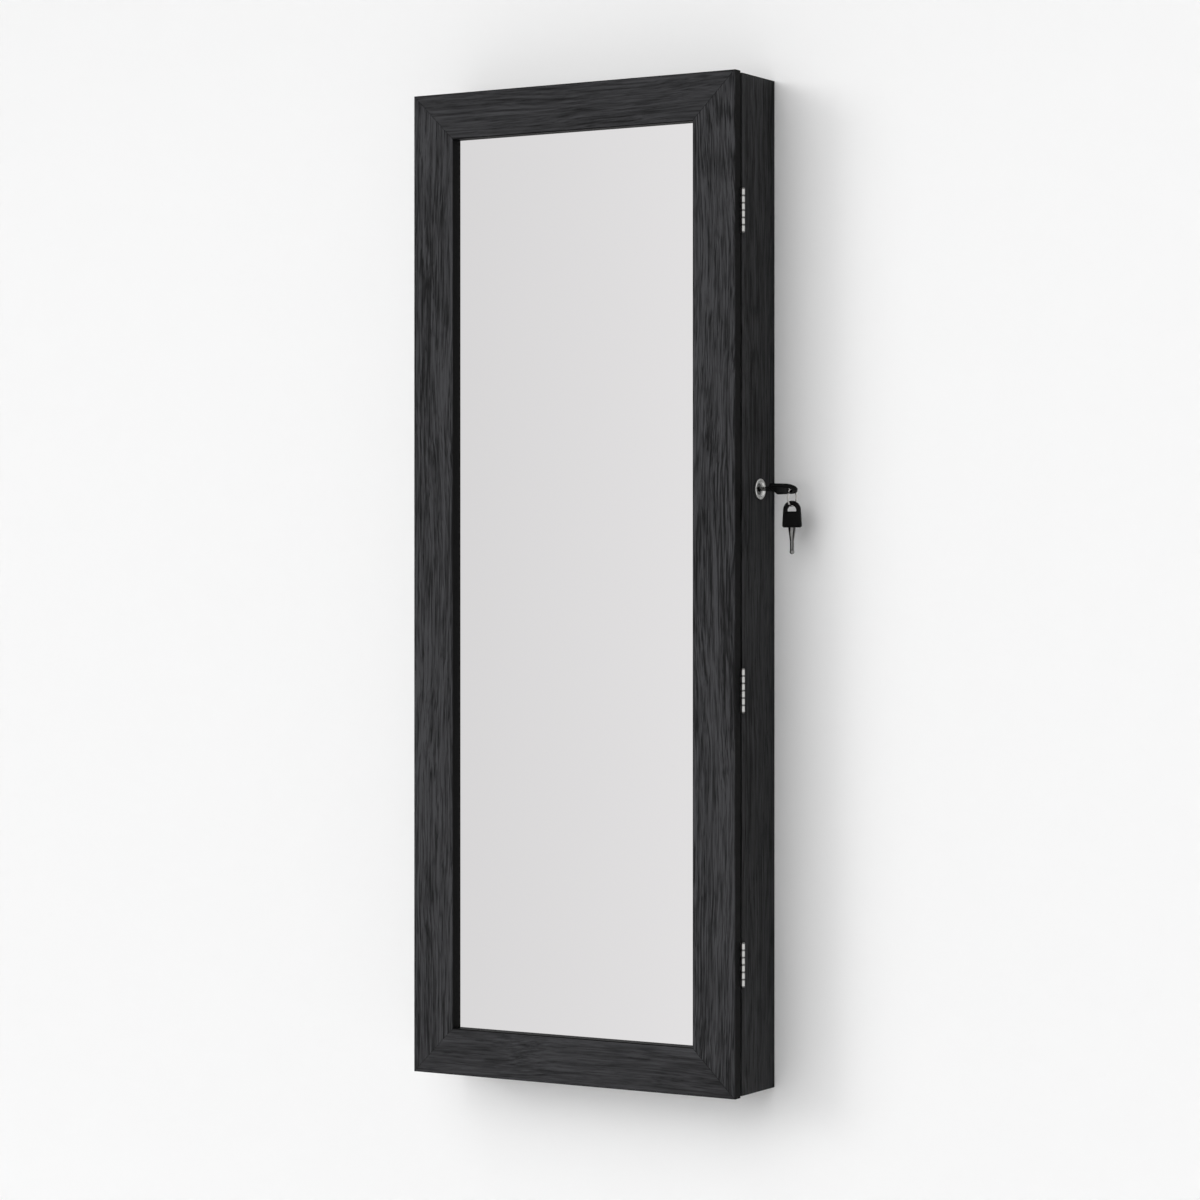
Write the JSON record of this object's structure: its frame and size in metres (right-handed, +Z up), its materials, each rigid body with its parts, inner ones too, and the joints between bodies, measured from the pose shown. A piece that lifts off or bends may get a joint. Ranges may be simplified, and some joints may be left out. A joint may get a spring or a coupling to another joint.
{
  "type": "jewelry mirror cabinet",
  "caption": "Narrow wall-hung jewelry cabinet with a framed mirror door on side hinges, a key lock in its side and lined storage inside.",
  "frame": {"origin": "centre of the four wall-screw holes, on the back face of the hanging rails", "axes": "+Z up, +X to the right of someone facing the mirror, +Y towards the wall; the mirror faces -Y"},
  "size_m": [0.4476, 0.0883, 1.07],
  "materials": {
    "door_wood": "charcoal-stained grain, satin",
    "body_wood": "charcoal-stained grain, satin",
    "inner_wood": "black-stained, satin",
    "plain_wood": "raw pine, matte",
    "back_hardboard": "brown hardboard, matte",
    "velvet": "black velvet",
    "roll_velvet": "black velvet over foam",
    "bar_wood": "black-stained dowel",
    "mirror_silver": "silvered flat glass",
    "hinge_nickel": "satin nickel",
    "screw_steel": "zinc-plated",
    "lock_nickel": "nickel-plated, lightly worn",
    "zinc_sheet": "zinc-plated sheet",
    "key_steel": "milled nickel-plated steel",
    "key_plastic": "black moulded plastic",
    "ring_wire": "nickel-plated spring wire",
    "hook_nickel": "nickel-plated wire",
    "catch_plastic": "black moulded plastic",
    "magnet_iron": "dark ferrite and steel",
    "bumper_rubber": "soft grey dot"
  },
  "bodies": {
    "cabinet": {"side_board_left": "body_wood", "side_board_right": "body_wood", "top_board": "body_wood", "bottom_board": "body_wood", "back_board": "back_hardboard", "hanging_rail_top": "plain_wood", "hanging_rail_bottom": "plain_wood", "corner_dowels": "plain_wood", "back_lining": "velvet", "shelf_pins": "screw_steel", "floor_fence": "inner_wood", "necklace_rail": "inner_wood", "necklace_hooks": "hook_nickel", "earring_board": "inner_wood", "earring_battens": "plain_wood", "bracelet_bar": "bar_wood", "bracelet_sockets": "inner_wood", "ring_tray": "inner_wood", "ring_rolls": "roll_velvet", "catch_housing": "catch_plastic", "catch_magnet": "magnet_iron", "door_bumpers": "bumper_rubber", "hinge_screws_body": "screw_steel", "hinge_pins": "hinge_nickel", "lock_housing": "lock_nickel", "lock_nut": "lock_nickel", "shelf_upper": "inner_wood", "shelf_middle": "inner_wood", "shelf_lower": "inner_wood", "fence_upper": "inner_wood", "fence_middle": "inner_wood", "fence_lower": "inner_wood", "hinge_body_leaf_top": "hinge_nickel", "hinge_body_leaf_middle": "hinge_nickel", "hinge_body_leaf_bottom": "hinge_nickel"},
    "door": {"door_stile_left": "door_wood", "door_stile_right": "door_wood", "door_rail_top": "door_wood", "door_rail_bottom": "door_wood", "mirror_glass": "mirror_silver", "mirror_backing": "back_hardboard", "door_lining": "velvet", "door_hook_rail": "inner_wood", "door_hooks": "hook_nickel", "hinge_screws_door": "screw_steel", "strike_plate": "zinc_sheet", "keeper": "zinc_sheet", "plate_screws": "screw_steel", "hinge_door_leaf_top": "hinge_nickel", "hinge_door_leaf_middle": "hinge_nickel", "hinge_door_leaf_bottom": "hinge_nickel"},
    "lock": {"lock_cylinder": "lock_nickel", "lock_cam": "zinc_sheet", "cam_screw": "screw_steel"},
    "key": {"key_blade": "key_steel", "key_bow": "key_plastic"},
    "ring": {"split_ring": "ring_wire"},
    "spare": {"spare_key_blade": "key_steel", "spare_key_bow": "key_plastic"}
  },
  "joints": [
    {"name": "door_hinge", "type": "hinge", "parent": "cabinet", "child": "door", "pos_m": [0.202, -0.07455, 0], "axis": [0, 0, 1], "range_deg": [0, 120]},
    {"name": "lock_turn", "type": "hinge", "parent": "cabinet", "child": "lock", "pos_m": [0.19, -0.0374, 0.1], "axis": [-1, 0, 0], "range_deg": [0, 90]},
    {"name": "key_slide", "type": "slide", "parent": "lock", "child": "key", "axis": [1, 0, 0], "range_m": [0, 0.013]},
    {"name": "ring_swing", "type": "hinge", "parent": "key", "child": "ring", "pos_m": [0.2365, -0.0302, 0.09694], "axis": [-1, 0, 0], "range_deg": [-90, 0]},
    {"name": "spare_key_swing", "type": "hinge", "parent": "ring", "child": "spare", "pos_m": [0.2365, -0.0302, 0.08138], "axis": [0, 1, 0], "range_deg": [-35, 25]}
  ],
  "couplings": [
    {"joint": "ring_swing", "follows": "lock_turn", "ratio": -1}
  ]
}
